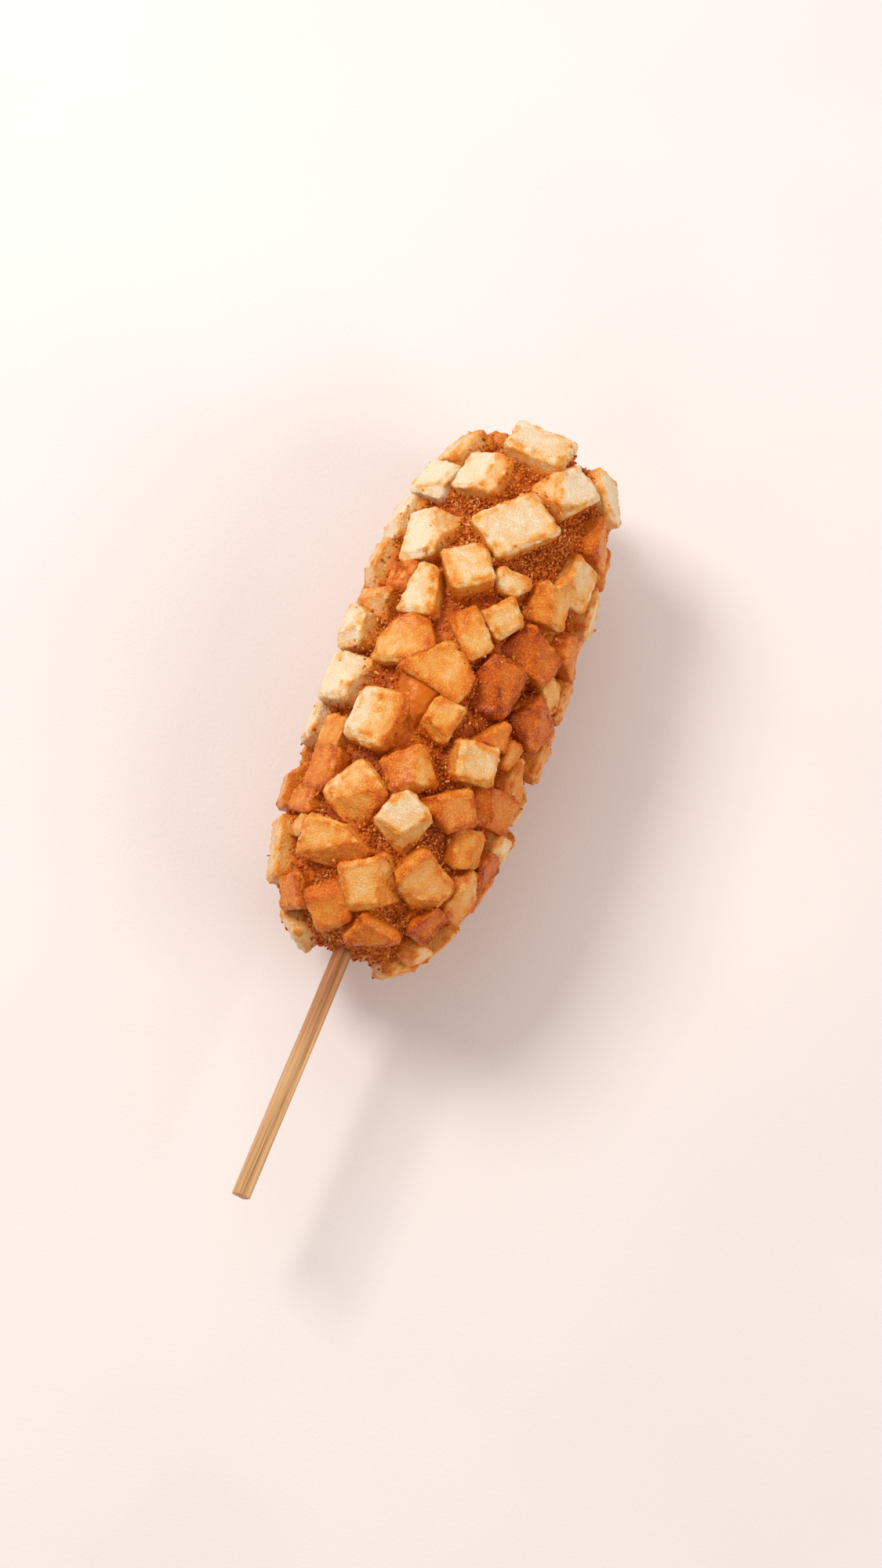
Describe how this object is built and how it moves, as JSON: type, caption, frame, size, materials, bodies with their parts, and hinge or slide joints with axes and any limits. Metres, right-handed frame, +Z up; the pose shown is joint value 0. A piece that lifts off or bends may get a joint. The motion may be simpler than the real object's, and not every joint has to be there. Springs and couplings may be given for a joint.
{
  "type": "potato corn dog",
  "caption": "Corn dog crusted all over with fried potato dice and bread crumbs, on a square bamboo stick, lying on its side with the dressed side up.",
  "frame": {"origin": "centre of the overall box in plan, at the surface the corn dog lies on", "axes": "+Y along the corn dog from the stick's free end to the tip, +Z up through the dressed side, +X to the right"},
  "size_m": [0.0586, 0.2, 0.0569],
  "materials": {
    "batter": "fried batter and bread crumbs, rough, red-brown",
    "potato_pale": "lightly fried potato, cream to pale gold, slightly glossy",
    "potato_gold": "fried potato, golden, slightly glossy",
    "potato_brown": "deeply fried potato, orange-brown, crisp",
    "bamboo": "bare bamboo, satin, fine grain along the stick"
  },
  "bodies": {
    "root": {"batter_body": "batter", "stick": "bamboo", "potato_tip_01": "potato_pale", "potato_tip_02": "potato_pale", "potato_tip_03": "potato_pale", "potato_tip_04": "potato_gold", "potato_tip_05": "potato_pale", "potato_tip_06": "potato_pale", "potato_tip_07": "potato_gold", "potato_tip_08": "potato_pale", "potato_tip_09": "potato_gold", "potato_tip_10": "potato_gold", "potato_tip_11": "potato_brown", "potato_tip_12": "potato_gold", "potato_tip_13": "potato_gold", "potato_middle_01": "potato_pale", "potato_middle_02": "potato_pale", "potato_middle_03": "potato_gold", "potato_middle_04": "potato_gold", "potato_middle_05": "potato_gold", "potato_middle_06": "potato_brown", "potato_middle_07": "potato_gold", "potato_middle_08": "potato_gold", "potato_middle_09": "potato_brown", "potato_middle_10": "potato_brown", "potato_middle_11": "potato_gold", "potato_middle_12": "potato_brown", "potato_middle_13": "potato_pale", "potato_middle_14": "potato_pale", "potato_middle_15": "potato_gold", "potato_middle_16": "potato_pale", "potato_middle_17": "potato_brown", "potato_middle_18": "potato_gold", "potato_middle_19": "potato_gold", "potato_middle_20": "potato_pale", "potato_middle_21": "potato_gold", "potato_middle_22": "potato_gold", "potato_heel_01": "potato_gold", "potato_heel_02": "potato_pale", "potato_heel_03": "potato_pale", "potato_heel_04": "potato_brown", "potato_heel_05": "potato_gold", "potato_heel_06": "potato_pale", "potato_heel_07": "potato_gold", "potato_heel_08": "potato_pale", "potato_heel_09": "potato_gold", "potato_heel_10": "potato_brown", "potato_heel_11": "potato_pale", "potato_heel_12": "potato_pale", "potato_heel_13": "potato_brown", "potato_heel_14": "potato_brown", "potato_heel_15": "potato_gold", "potato_heel_16": "potato_pale", "potato_heel_17": "potato_pale", "potato_heel_18": "potato_brown", "potato_heel_19": "potato_gold", "potato_heel_20": "potato_gold", "potato_heel_21": "potato_gold", "potato_heel_22": "potato_pale", "potato_heel_23": "potato_gold"}
  },
  "joints": []
}
